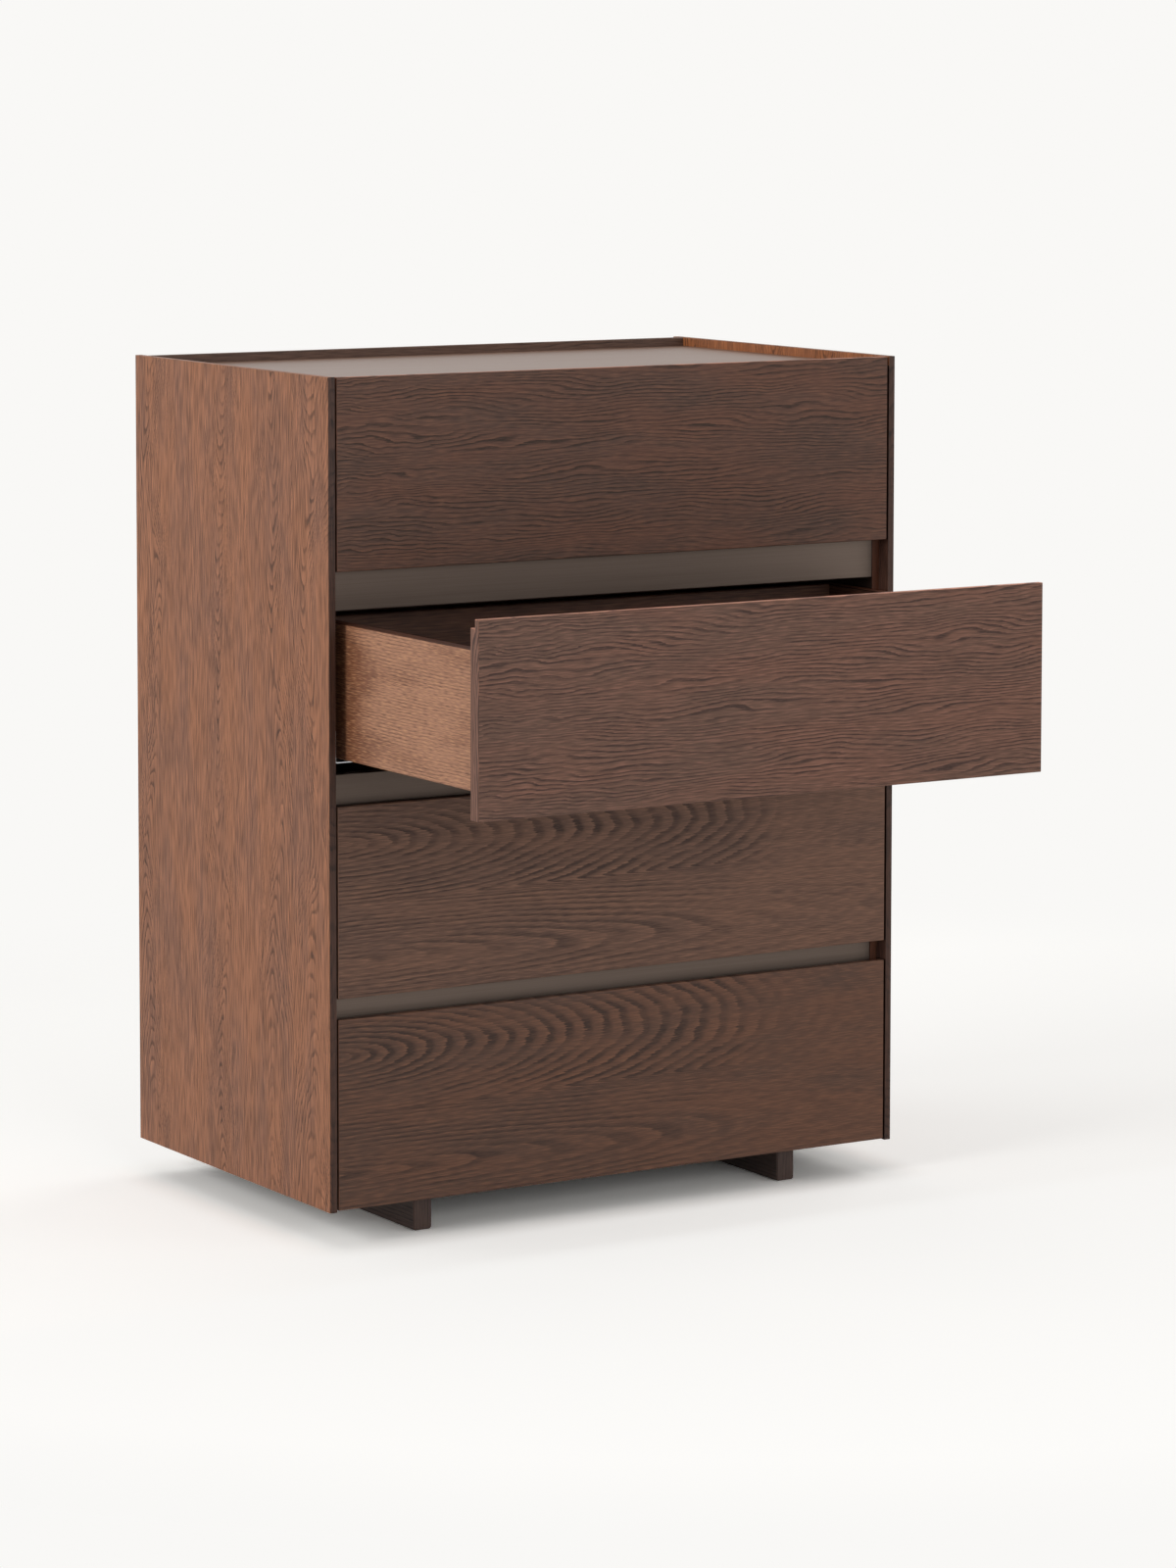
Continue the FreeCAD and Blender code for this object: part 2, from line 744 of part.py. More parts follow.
def cabinet_rail(number, side):
    """Fixed member: screw flange beside the box, base below it and the raised track."""
    path = [(0, runner_flange_rise), (0, runner_base_level)]
    path += channel_path(0, runner_base_level, runner_base_level)
    member = runner_member(path, number, side, runner_front_plane, runner_rear_plane)
    low = box_level(number)
    y_low = runner_front_plane - overrun
    x_low, x_high = side_span(side, 0, inner_half - runner_base_width)
    behind_lip = box(x_low, x_high, y_low, track_front_plane,
                     low + runner_base_level - overrun, low + runner_flange_rise)
    x_low, x_high = side_span(side, 0, inner_half - runner_wrap)
    above_lip = box(x_low, x_high, y_low, track_front_plane,
                    low - runner_lip_gap, low + runner_flange_rise)
    tools = [behind_lip, above_lip]
    outwards = FreeCAD.Vector(side, 0, 0)
    for place in runner_screw_places(side, number):
        inner_face = place - outwards * runner_sheet
        tools.append(bore(inner_face, outwards, runner_sheet + overrun,
                          runner_screw_radius + fit_gap, fitting_sides))
    return cut_all(member, tools)


def middle_rail(number, side):
    """Intermediate member, a channel over the track, which moves half as far as the drawer."""
    foot = runner_foot_gap - runner_base_drop
    member = runner_member(channel_path(1, foot, foot), number, side,
                           track_front_plane, track_front_plane + full_travel)
    member.translate(FreeCAD.Vector(0, middle_travel_share * drawer_shift(number), 0))
    return member


def drawer_rail(number, side):
    """Moving member, a channel over the intermediate one, with the box's bottom on its roof."""
    foot = 2 * runner_foot_gap - runner_base_drop
    return runner_member(channel_path(2, foot, foot), number, side, track_front_plane, box_rear_plane)


def runner_screws():
    """Pan-head screws that hold every cabinet rail on the side boards."""
    screws = []
    for number in range(1, drawer_count + 1):
        for side in (-1, 1):
            outwards = FreeCAD.Vector(side, 0, 0)
            for place in runner_screw_places(side, number):
                screws.append(pan_head_screw(place - outwards * runner_sheet, outwards,
                                             runner_screw_head_radius, runner_screw_head_height,
                                             runner_screw_radius, runner_screw_length))
    return screws


# The chest, piece by piece

def board_fittings(make, shares):
    """One fitting for each place in both ends of the two bolted boards."""
    return [make(place, side, board) for board in (top_board, bottom_board) for side in (-1, 1)
            for place in board_joint_places(board, side, shares)]


def carcass_pieces():
    """Every piece that stands still, by name."""
    pieces = {
        "side_panel_left": [side_panel(-1)],
        "side_panel_right": [side_panel(1)],
        "side_board_left": [side_board(-1)],
        "side_board_right": [side_board(1)],
        "top_panel": [top_panel()],
        "bottom_panel": [bottom_panel()],
        "back_panel": [back_panel()],
        "skid_left": [skid(-1)],
        "skid_right": [skid(1)],
        "cam_locks": board_fittings(cam_lock, carcass_cam_shares),
        "cam_bolts": board_fittings(lambda place, side, board: cam_bolt(place, side), carcass_cam_shares),
        "dowels": board_fittings(lambda place, side, board: dowel(place, side), carcass_dowel_shares),
        "skid_screws": [skid_screw(place) for side in (-1, 1) for place in skid_screw_places(side)],
        "runner_screws": runner_screws(),
    }
    for number in range(1, drawer_count):
        pieces[f"rail_{number}"] = [rail(number)]
        pieces[f"strip_{number}"] = [strip(number)]
        for side in (-1, 1):
            pieces["dowels"] += [dowel(place, side) for place in rail_dowels(side, number)]
    return pieces


def drawer_pieces(number):
    """Every piece of one drawer, by name, where the drawer stands."""
    pieces = {
        "front": [drawer_front(number)],
        "box_front": [box_front(number)],
        "box_left": [box_side(number, -1)],
        "box_right": [box_side(number, 1)],
        "box_back": [box_back(number)],
        "box_bottom": [box_bottom(number)],
        "front_screws": front_screws(number),
        "drawer_rails": [drawer_rail(number, side) for side in (-1, 1)],
    }
    named = {}
    for name, solids in pieces.items():
        for solid in solids:
            solid.translate(FreeCAD.Vector(0, drawer_shift(number), 0))
        named[f"drawer_{number}_{name}"] = solids
    named[f"drawer_{number}_cabinet_rails"] = [cabinet_rail(number, side) for side in (-1, 1)]
    named[f"drawer_{number}_middle_rails"] = [middle_rail(number, side) for side in (-1, 1)]
    return named


def write_pieces(pieces):
    """Write each named piece, or group of like pieces, to its own file."""
    os.makedirs("parts", exist_ok=True)
    for name, solids in pieces.items():
        shape = solids[0] if len(solids) == 1 else Part.makeCompound(solids)
        shape.exportStep(f"parts/{name}.step")


all_pieces = carcass_pieces()
for drawer_number in range(1, drawer_count + 1):
    all_pieces.update(drawer_pieces(drawer_number))
write_pieces(all_pieces)
print(len(all_pieces), "pieces, front height", round(front_height, 2))
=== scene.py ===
import bpy
import math
from mathutils import Matrix, Vector


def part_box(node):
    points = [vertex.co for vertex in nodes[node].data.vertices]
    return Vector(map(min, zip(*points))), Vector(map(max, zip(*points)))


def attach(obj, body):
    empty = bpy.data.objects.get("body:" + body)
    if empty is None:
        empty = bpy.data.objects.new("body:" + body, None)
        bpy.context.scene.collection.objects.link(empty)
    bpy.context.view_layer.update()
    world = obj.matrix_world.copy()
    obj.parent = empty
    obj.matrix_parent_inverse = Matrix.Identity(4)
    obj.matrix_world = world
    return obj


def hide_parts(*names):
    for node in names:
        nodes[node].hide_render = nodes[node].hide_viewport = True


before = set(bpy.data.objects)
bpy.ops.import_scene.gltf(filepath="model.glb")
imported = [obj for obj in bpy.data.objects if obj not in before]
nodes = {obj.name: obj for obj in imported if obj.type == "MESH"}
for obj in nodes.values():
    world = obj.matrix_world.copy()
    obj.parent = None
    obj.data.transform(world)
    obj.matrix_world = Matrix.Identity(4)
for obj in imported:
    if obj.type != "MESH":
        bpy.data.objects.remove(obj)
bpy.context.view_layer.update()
bpy.ops.object.select_all(action="DESELECT")


# Studio camera.
# A long lens looks from the front left, a little above the chest. The lens axis passes
# above the picture's middle, as on a shifted view camera, so uprights stay nearly upright.

camera_yaw = math.radians(31.560)
camera_pitch = math.radians(4.971)
camera_roll = math.radians(0.063)
camera_data = bpy.data.cameras.new("studio_camera")
camera_data.sensor_width = 36.0
camera_data.lens = 119.115
camera_data.shift_y = -0.1875
camera_data.clip_end = 60.0
camera = bpy.data.objects.new("studio_camera", camera_data)
bpy.context.scene.collection.objects.link(camera)
camera.location = (-3.2817, -5.3533, 1.4165)
camera_aim = Matrix.Rotation(-camera_yaw, 3, "Z") @ Matrix.Rotation(math.pi / 2 - camera_pitch, 3, "X")
camera.rotation_euler = (camera_aim @ Matrix.Rotation(camera_roll, 3, "Z")).to_euler()
bpy.context.scene.camera = camera
bpy.context.scene.view_settings.view_transform = "Standard"


# Studio lamps.
# Large softboxes stand all round, as in a white cove, and one hangs overhead. The tall one at
# the left is the strongest: it lights the chest's side and sends a soft shadow to the right.

def linear(hex_colour):
    """Linear RGBA of an sRGB hex colour."""
    shares = [int(hex_colour[start:start + 2], 16) / 255 for start in (1, 3, 5)]
    return [share / 12.92 if share <= 0.04045 else ((share + 0.055) / 1.055) ** 2.4
            for share in shares] + [1.0]


chest_middle = (0.0, 0.1, 0.5)
softboxes = {
    # name: place, width, height, power
    "tall_left": ((-6.2, -0.9, 2.4), 2.4, 3.6, 225.0),
    "left_rear": ((-5.2, 3.4, 3.0), 4.5, 4.0, 90.0),
    "front": ((0.0, -6.2, 1.6), 4.5, 3.0, 150.0),
    "front_right": ((4.6, -4.4, 2.4), 4.5, 4.0, 80.0),
    "right": ((5.2, 1.6, 4.0), 4.5, 4.0, 112.0),
    "rear": ((0.5, 5.4, 5.2), 6.0, 4.5, 30.0),
    "overhead": ((-0.6, 1.2, 6.4), 6.0, 6.0, 60.0),
}
for name, (place, width, height, power) in softboxes.items():
    lamp_data = bpy.data.lights.new(name + "_softbox", "AREA")
    lamp_data.shape = "RECTANGLE"
    lamp_data.size = width
    lamp_data.size_y = height
    lamp_data.energy = power
    lamp_data.color = linear("#FFFFFF")[:3]
    lamp = bpy.data.objects.new(name + "_softbox", lamp_data)
    bpy.context.scene.collection.objects.link(lamp)
    lamp.location = place
    lamp.rotation_euler = (Vector(chest_middle) - Vector(place)).to_track_quat("-Z", "Y").to_euler()


# Studio floor and white surroundings.
# The floor is matt white and keeps the chest's soft shadow, deepest under the chest; beside it
# and in front it pales, and further out it is the plain off-white of the backdrop.

def add(owner, kind, sockets=None, out=0, **fields):
    """Adds a shading node with its fields and sockets, and returns one of its outputs."""
    made = owner.node_tree.nodes.new(kind)
    for field, value in fields.items():
        setattr(made, field, value)
    for socket, value in (sockets or {}).items():
        if isinstance(value, bpy.types.NodeSocket):
            owner.node_tree.links.new(value, made.inputs[socket])
        else:
            made.inputs[socket].default_value = value
    return made.outputs[out] if made.outputs else None


def seen_directly(owner):
    """1 where the camera, a gloss or a glass looks at this, and 0 where it only gives light."""
    rays = add(owner, "ShaderNodeLightPath").node.outputs
    share = add(owner, "ShaderNodeMath", {0: rays["Is Camera Ray"], 1: rays["Is Glossy Ray"]},
                operation="MAXIMUM")
    return add(owner, "ShaderNodeMath", {0: share, 1: rays["Is Transmission Ray"]}, operation="MAXIMUM")


backdrop_white = linear("#F9F8F6")
world = bpy.data.worlds.new("studio_world")
world.use_nodes = True
world.node_tree.nodes.clear()
bpy.context.scene.world = world
room_light = add(world, "ShaderNodeBackground", {"Color": linear("#F4F6FA"), "Strength": 0.09})
surroundings = add(world, "ShaderNodeBackground", {"Color": backdrop_white, "Strength": 1.0})
add(world, "ShaderNodeOutputWorld", {"Surface": add(world, "ShaderNodeMixShader", {
    0: seen_directly(world), 1: room_light, 2: surroundings})})

# The floor lies a hair below the skids, so that no face of theirs lies in it.
floor_size, floor_drop = 24.0, 0.0004
bpy.ops.mesh.primitive_plane_add(size=floor_size, location=(0.0, 0.0, -floor_drop))
floor = bpy.context.active_object
floor.name = "studio_floor"
bpy.ops.object.transform_apply(location=True, rotation=True, scale=True)
painted_floor = bpy.data.materials.new("matt_white_studio_floor")
painted_floor.use_nodes = True
painted_floor.node_tree.nodes.clear()
floor_seen = seen_directly(painted_floor)
floor_point = add(painted_floor, "ShaderNodeTexCoord", out="Object")

# The backdrop starts this far from a point between the chest and its shadow.
shadow_middle, backdrop_starts, backdrop_full = (0.35, 0.25, 0.0), 0.95, 1.9
from_shadow = add(painted_floor, "ShaderNodeVectorMath", {0: floor_point, 1: shadow_middle},
                  operation="DISTANCE", out="Value")
faded = add(painted_floor, "ShaderNodeMapRange", {"Value": from_shadow, "From Min": backdrop_starts,
                                                  "From Max": backdrop_full},
            interpolation_type="SMOOTHSTEP")

# The shadow pales to these shares past the carcass's footprint, all round it and in front.
pale_beside, pale_beside_at = 0.5, 0.06
pale_in_front, front_pales_from, front_pale_at = 0.75, 0.04, 0.20
low_corner, high_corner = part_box("side_panel_left")[0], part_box("side_panel_right")[1]
footprint_middle = [(low + high) / 2 for low, high in zip(low_corner[:2], high_corner[:2])] + [0.0]
footprint_half = [(high - low) / 2 for low, high in zip(low_corner[:2], high_corner[:2])] + [0.0]
beside = add(painted_floor, "ShaderNodeVectorMath", {0: floor_point, 1: footprint_middle},
             operation="SUBTRACT")
beside = add(painted_floor, "ShaderNodeVectorMath", {0: beside}, operation="ABSOLUTE")
beside = add(painted_floor, "ShaderNodeVectorMath", {0: beside, 1: footprint_half}, operation="SUBTRACT")
beside = add(painted_floor, "ShaderNodeVectorMath", {0: beside, 1: (0.0, 0.0, 0.0)}, operation="MAXIMUM")
beside = add(painted_floor, "ShaderNodeVectorMath", {0: beside}, operation="LENGTH", out="Value")
beside = add(painted_floor, "ShaderNodeMapRange", {"Value": beside, "From Max": pale_beside_at,
                                                   "To Max": pale_beside},
             interpolation_type="SMOOTHSTEP")
in_front = add(painted_floor, "ShaderNodeSeparateXYZ", {0: floor_point}, out="Y")
in_front = add(painted_floor, "ShaderNodeMapRange", {"Value": in_front,
                                                     "From Min": low_corner[1] - front_pales_from,
                                                     "From Max": low_corner[1] - front_pale_at,
                                                     "To Max": pale_in_front},
               interpolation_type="SMOOTHSTEP")
faded = add(painted_floor, "ShaderNodeMath", {0: faded, 1: beside}, operation="MAXIMUM")
faded = add(painted_floor, "ShaderNodeMath", {0: faded, 1: in_front}, operation="MAXIMUM")
faded = add(painted_floor, "ShaderNodeMath", {0: faded, 1: floor_seen}, operation="MULTIPLY")

# Seen directly, the paint is lifted towards the backdrop, which gives the chest no more light.
matt = add(painted_floor, "ShaderNodeBsdfDiffuse", {"Color": linear("#F3F2EF")})
lift = add(painted_floor, "ShaderNodeBsdfDiffuse", {"Color": linear("#C4C3C0")})
lift = add(painted_floor, "ShaderNodeMixShader", {0: floor_seen, 2: lift})
matt = add(painted_floor, "ShaderNodeAddShader", {0: matt, 1: lift})
bright = add(painted_floor, "ShaderNodeEmission", {"Color": backdrop_white, "Strength": 1.0})
add(painted_floor, "ShaderNodeOutputMaterial", {"Surface": add(painted_floor, "ShaderNodeMixShader", {
    0: faded, 1: matt, 2: bright})})
floor.data.materials.append(painted_floor)


# Sides.
# Each is a thin outer panel in crown-cut oak veneer under matt lacquer, with upright grain, and a
# board glued inside it that carries the runners, painted near black as shade. The panel is stained
# mid brown, lighter and warmer than the fronts partly as painted light from the left.

def dress(node_name, material):
    """Gives a carried-over CAD node its finish."""
    node = nodes[node_name]
    if node.material_slots:
        for place in node.material_slots:
            place.material = material
    else:
        node.data.materials.append(material)


def grain_noise(oak, sheet, along, across, detail=1.0):
    """Noise about 0.5 whose patches are this long along the grain and this wide across it."""
    drawn_out = add(oak, "ShaderNodeMapping", {"Vector": sheet,
                                               "Scale": (1 / along, 1 / across, 1 / across)})
    return add(oak, "ShaderNodeTexNoise", {"Vector": drawn_out, "Scale": 1.0, "Detail": detail,
                                           "Roughness": 0.55})


def swayed(oak, field, sheet, along, across, swing):
    """A field that drifts to and fro by about a quarter of swing, in patches of this size."""
    drift = add(oak, "ShaderNodeMath", {0: grain_noise(oak, sheet, along, across), 1: 0.5},
                operation="SUBTRACT")
    return add(oak, "ShaderNodeMath", {0: drift, 1: swing, 2: field}, operation="MULTIPLY_ADD")


def oak_veneer(name, grain, stain, figure, ring=0.005, line=0.25, depth=0.75, wander=0.008, fray=0.020,
               pore=(0.022, 0.0016), pore_depth=0.30, faces_with_painted_light_and_shade=()):
    """Sliced oak under stain: rings in a figure, frayed along the grain, with pores between them.

    grain names the axes along, across and through the sheet; stain holds the light, cool, warm and
    dark colour. figure gives, from the places along and across, the rings' field, how clearly they
    show and how warm the stain turns, which is painted light on the fronts and painted shade on the
    drawer sides. ring is their spacing, line the dark share of it, and depth how dark that is. Lengths
    are in metres. Pores are drawn wider than the real 0.3 mm, so that they show.
    faces_with_painted_light_and_shade lists faces whose colour is multiplied, mostly as painted light
    and shade, as (axis, which way along it they face, below which height, what the colour is multiplied
    by).
    """
    broad_drift, fine_drift = (0.300, 0.060), (0.050, 0.012)
    clear_patch, tone_patch = (0.120, 0.018), (0.200, 0.045)
    ring_edge, light_edge_starts = 0.08, 0.85
    turned_least = 0.6
    relief_depth = 0.00012
    light, cool, warm, dark = [linear(colour) for colour in stain]
    oak = bpy.data.materials.new(name)
    oak.use_nodes = True
    shader = oak.node_tree.nodes["Principled BSDF"]
    point = add(oak, "ShaderNodeTexCoord", out="Object")
    point = add(oak, "ShaderNodeSeparateXYZ", {0: point}).node.outputs
    facing = add(oak, "ShaderNodeTexCoord", out="Normal")
    facing = add(oak, "ShaderNodeSeparateXYZ", {0: facing}).node.outputs
    along, across, through = grain
    face = add(oak, "ShaderNodeCombineXYZ", {0: point[along], 1: point[across], 2: point[through]})
    edging = add(oak, "ShaderNodeCombineXYZ", {0: point[across], 1: point[through], 2: point[along]})
    on_end = add(oak, "ShaderNodeMath", {0: facing[along]}, operation="ABSOLUTE")
    on_end = add(oak, "ShaderNodeMath", {0: on_end, 1: turned_least}, operation="GREATER_THAN")
    sheet = add(oak, "ShaderNodeMix", {0: on_end, 4: face, 5: edging}, out=1, data_type="VECTOR")

    # Rings: an abrupt dark line of early wood that fades out, with a light edge before it.
    pore_length, pore_width = pore
    place = add(oak, "ShaderNodeSeparateXYZ", {0: sheet}).node.outputs
    frayed_along = swayed(oak, place[0], sheet, pore_length, pore_width, fray)
    field, clear, warmth = figure(oak, frayed_along, place[1])
    field = swayed(oak, field, sheet, *broad_drift, wander)
    field = swayed(oak, field, sheet, *fine_drift, wander / 4)
    turn = add(oak, "ShaderNodeMath", {0: field, 1: ring}, operation="DIVIDE")
    turn = add(oak, "ShaderNodeMath", {0: turn}, operation="FRACT")
    early_wood = add(oak, "ShaderNodeValToRGB", {0: turn})
    steps = early_wood.node.color_ramp.elements
    steps[0].color = (0.0, 0.4, 0.0, 1.0)
    steps[1].color = (0.0, 0.4, 0.0, 1.0)
    for position, dark_level, light_level in ((ring_edge, 1.0, 0.0), (ring_edge + line * 0.8, 0.90, 0.0),
                                              (ring_edge + line * 1.3, 0.12, 0.0),
                                              (light_edge_starts, 0.0, 0.1)):
        steps.new(position).color = (dark_level, light_level, 0.0, 1.0)
    early_wood = add(oak, "ShaderNodeSeparateColor", {0: early_wood}).node.outputs
    strength = add(oak, "ShaderNodeMapRange", {"Value": grain_noise(oak, sheet, *clear_patch, 2.0),
                                               "From Min": 0.36, "From Max": 0.60, "To Min": 0.30})
    strength = add(oak, "ShaderNodeMath", {0: strength, 1: clear}, operation="MULTIPLY")
    ticks = grain_noise(oak, sheet, pore_length * 0.6, pore_width * 0.8)
    ticks = add(oak, "ShaderNodeMapRange", {"Value": ticks, "From Min": 0.34, "From Max": 0.52,
                                            "To Min": 0.55})
    strength = add(oak, "ShaderNodeMath", {0: strength, 1: ticks}, operation="MULTIPLY")
    dark_share = add(oak, "ShaderNodeMath", {0: early_wood["Red"], 1: strength}, operation="MULTIPLY")
    light_share = add(oak, "ShaderNodeMath", {0: early_wood["Green"], 1: strength}, operation="MULTIPLY")

    # Pores and glints, in fine streaks and in broader ones.
    streaks = grain_noise(oak, sheet, pore_length, pore_width, 0.0)
    bands = grain_noise(oak, sheet, pore_length * 3.5, pore_width * 2.2, 0.0)
    streaks = add(oak, "ShaderNodeMath", {0: bands, 1: 0.30, 2: streaks}, operation="MULTIPLY_ADD")
    pores = add(oak, "ShaderNodeMapRange", {"Value": streaks, "From Min": 0.68, "From Max": 0.86,
                                            "To Max": pore_depth})
    glints = add(oak, "ShaderNodeMapRange", {"Value": streaks, "From Min": 0.63, "From Max": 0.44,
                                             "To Max": pore_depth * 1.4})
    dark_share = add(oak, "ShaderNodeMath", {0: dark_share, 1: depth, 2: pores}, operation="MULTIPLY_ADD",
                     use_clamp=True)
    light_share = add(oak, "ShaderNodeMath", {0: light_share, 1: 0.8, 2: glints}, operation="MULTIPLY_ADD",
                      use_clamp=True)
    tone = grain_noise(oak, sheet, *tone_patch, 2.0)
    tone = add(oak, "ShaderNodeMath", {0: tone, 1: warmth}, operation="ADD")
    tone = add(oak, "ShaderNodeMapRange", {"Value": tone, "From Min": 0.36, "From Max": 0.64})

    # Stain: cool or warm by patches and by the figure's warmth, lighter in the glints, dark in the rings
    # and pores. The figure's warmth is painted light on the fronts and painted shade on the drawer sides.
    colour = add(oak, "ShaderNodeMix", {0: tone, 6: cool, 7: warm}, out=2, data_type="RGBA")
    colour = add(oak, "ShaderNodeMix", {0: light_share, 6: colour, 7: light}, out=2, data_type="RGBA")
    colour = add(oak, "ShaderNodeMix", {0: dark_share, 6: colour, 7: dark}, out=2, data_type="RGBA")
    # Faces whose colour is multiplied, mostly as painted light and shade.
    for axis, way, below, change in faces_with_painted_light_and_shade:
        turned = add(oak, "ShaderNodeMath", {0: facing[axis], 1: way}, operation="MULTIPLY")
        turned = add(oak, "ShaderNodeMath", {0: turned, 1: turned_least}, operation="GREATER_THAN")
        lower = add(oak, "ShaderNodeMath", {0: point["Z"], 1: below}, operation="LESS_THAN")
        turned = add(oak, "ShaderNodeMath", {0: turned, 1: lower}, operation="MULTIPLY")
        changed = add(oak, "ShaderNodeVectorMath", {0: colour, 1: change}, operation="MULTIPLY")
        colour = add(oak, "ShaderNodeMix", {0: turned, 6: colour, 7: changed}, out=2, data_type="RGBA")
    dull = add(oak, "ShaderNodeMapRange", {"Value": dark_share, "To Min": 0.48, "To Max": 0.66})
    relief = add(oak, "ShaderNodeBump", {"Height": dark_share, "Distance": relief_depth, "Strength": 0.6},
                 invert=True)
    oak.node_tree.links.new(colour, shader.inputs["Base Color"])
    oak.node_tree.links.new(dull, shader.inputs["Roughness"])
    oak.node_tree.links.new(relief, shader.inputs["Normal"])
    shader.inputs["Specular IOR Level"].default_value = 0.25
    return oak


# Veneer leaves from the front edge to the back: middle of the crown, level of its waist, taper of
# the rings there, rear seam.
side_leaves = ((-0.039, 0.50, 0.17, 0.003), (0.045, 0.68, 0.18, 0.115), (0.186, 0.42, 0.24, 0.290),
               (0.370, 0.85, 0.21, 0.600))


def crowned_leaves(oak, along, across):
    """Rings that arch about the middle of each leaf, upwards below its waist, downwards above."""
    crown_radius, waist_radius = 0.012, 0.050
    clear_within, faint_beyond, faintest = 0.028, 0.056, 0.30
    warm_until, plain_from, front_warmth = -0.080, -0.045, 0.12
    bend_length, bend_width, bend = 0.320, 0.250, 0.110
    spot = add(oak, "ShaderNodeCombineXYZ", {0: along, 1: across})
    bent_across = swayed(oak, across, spot, bend_length, bend_width, bend)
    field = None
    for middle, waist, taper, seam in reversed(side_leaves):
        off_middle = add(oak, "ShaderNodeMath", {0: bent_across, 1: middle}, operation="SUBTRACT")
        flank = add(oak, "ShaderNodeCombineXYZ", {0: off_middle, 1: crown_radius})
        flank = add(oak, "ShaderNodeVectorMath", {0: flank}, operation="LENGTH", out="Value")
        off_waist = add(oak, "ShaderNodeMath", {0: along, 1: waist}, operation="SUBTRACT")
        rise = add(oak, "ShaderNodeCombineXYZ", {0: off_waist, 1: waist_radius})
        rise = add(oak, "ShaderNodeVectorMath", {0: rise}, operation="LENGTH", out="Value")
        leaf = add(oak, "ShaderNodeMath", {0: rise, 1: -taper, 2: flank}, operation="MULTIPLY_ADD")
        near = add(oak, "ShaderNodeMapRange", {"Value": flank, "From Min": clear_within,
                                               "From Max": faint_beyond, "To Min": 1.0, "To Max": faintest})
        if field is None:
            field = leaf
            clear = near
        else:
            before_seam = add(oak, "ShaderNodeMath", {0: across, 1: seam}, operation="LESS_THAN")
            field = add(oak, "ShaderNodeMix", {0: before_seam, 2: field, 3: leaf}, data_type="FLOAT")
            clear = add(oak, "ShaderNodeMix", {0: before_seam, 2: clear, 3: near}, data_type="FLOAT")
    warmth = add(oak, "ShaderNodeMapRange", {"Value": across, "From Min": warm_until,
                                             "From Max": plain_from, "To Min": front_warmth,
                                             "To Max": 0.0})
    return field, clear, warmth


# Crown-cut oak, stained mid brown, lighter and warmer partly as painted light: upright arches in
# leaves of unequal width. The thin front and rear edges are darkened as painted shade. The inner face
# is lightened and warmed as painted light where it stands above the tray as a rim. Below the tray it
# is painted near black as shade behind the drawer fronts, and a shaded brown round the open drawer
# and in the lowest finger gap. Each change of the inner face holds below its level, over those before it.
everywhere = 2.0
below_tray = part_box("top_panel")[1][2] - 0.0005
# Painted light: the stain is lighter and warmer than the fronts', as the left light falls on the side.
side_stain_and_painted_light = ("#A46D4E", "#744C38", "#875639", "#3C251A")
# Painted shade: the side's front and rear edges are darkened.
painted_shade_on_side_edges = (0.17, 0.16, 0.18)
# Painted light: the inner face is lightened and warmed, which shows on the rims above the tray.
painted_light_on_rims = (1.35, 1.20, 0.92)
# Painted shade: the inner face is near black below the tray, and lifted to a shaded brown in the gaps.
painted_shade_below_tray = (0.05, 0.05, 0.06)
weaker_shade_in_gaps = (4.9, 6.3, 10.0)
painted_shade_below_gaps = [1 / share for share in weaker_shade_in_gaps]
inner_changes = [(everywhere, painted_light_on_rims), (below_tray, painted_shade_below_tray)]
for front_above, front_below in ((1, 3), (3, 4)):
    gap_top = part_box(f"drawer_{front_above}_front")[0][2]
    gap_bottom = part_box(f"drawer_{front_below}_front")[1][2]
    inner_changes += [(gap_top, weaker_shade_in_gaps), (gap_bottom, painted_shade_below_gaps)]
for side, inner_way in (("left", 1.0), ("right", -1.0)):
    side_faces = [(1, -1.0, everywhere, painted_shade_on_side_edges), (1, 1.0, everywhere, painted_shade_on_side_edges)]
    side_faces += [(0, inner_way, level, change) for level, change in inner_changes]
    side_oak = oak_veneer(f"crown_cut_oak_side_veneer_{side}", "ZYX", side_stain_and_painted_light, crowned_leaves,
                          ring=0.0043, line=0.22, depth=0.76, wander=0.020, fray=0.008,
                          pore=(0.026, 0.0013), pore_depth=0.44, faces_with_painted_light_and_shade=side_faces)
    dress(f"side_panel_{side}", side_oak)


def straight_figure(oak, along, across):
    """Rings that run straight along the grain."""
    return across, 0.7, 0.0


# The boards inside are the same oak, painted near black as shade, for light hardly reaches them;
# they show only in the gaps. Their front edges are lifted to a browner tone, still in painted shade.
inner_front_edge_lift = (3.2, 1.9, 1.1)
painted_shade_inner_oak = oak_veneer("oak_inner_board_in_painted_shade", "ZYX", ("#2E211B", "#221813", "#281A14", "#150F0C"),
                       straight_figure, faces_with_painted_light_and_shade=((1, -1.0, everywhere, inner_front_edge_lift),))
dress("side_board_left", painted_shade_inner_oak)
dress("side_board_right", painted_shade_inner_oak)


# Bottom, rails and back.
# The bottom and the rails are boards painted near black as shade, and hardly show. The back is a thin
# veneered panel with level grain, whose top edge stands behind the tray as the fourth rim.

dress("bottom_panel", painted_shade_inner_oak)
for number in (1, 2, 3):
    dress(f"rail_{number}", painted_shade_inner_oak)
back_oak = oak_veneer("dark_oak_back_veneer", "XZY", ("#6F5446", "#5C453A", "#634637", "#33251F"),
                      straight_figure, wander=0.030)
dress("back_panel", back_oak)


# Tray.
# The top board lies below the rims as a shallow tray. It is sprayed in a satin taupe lacquer,
# which shows faint level streaks of the sanded base coat.

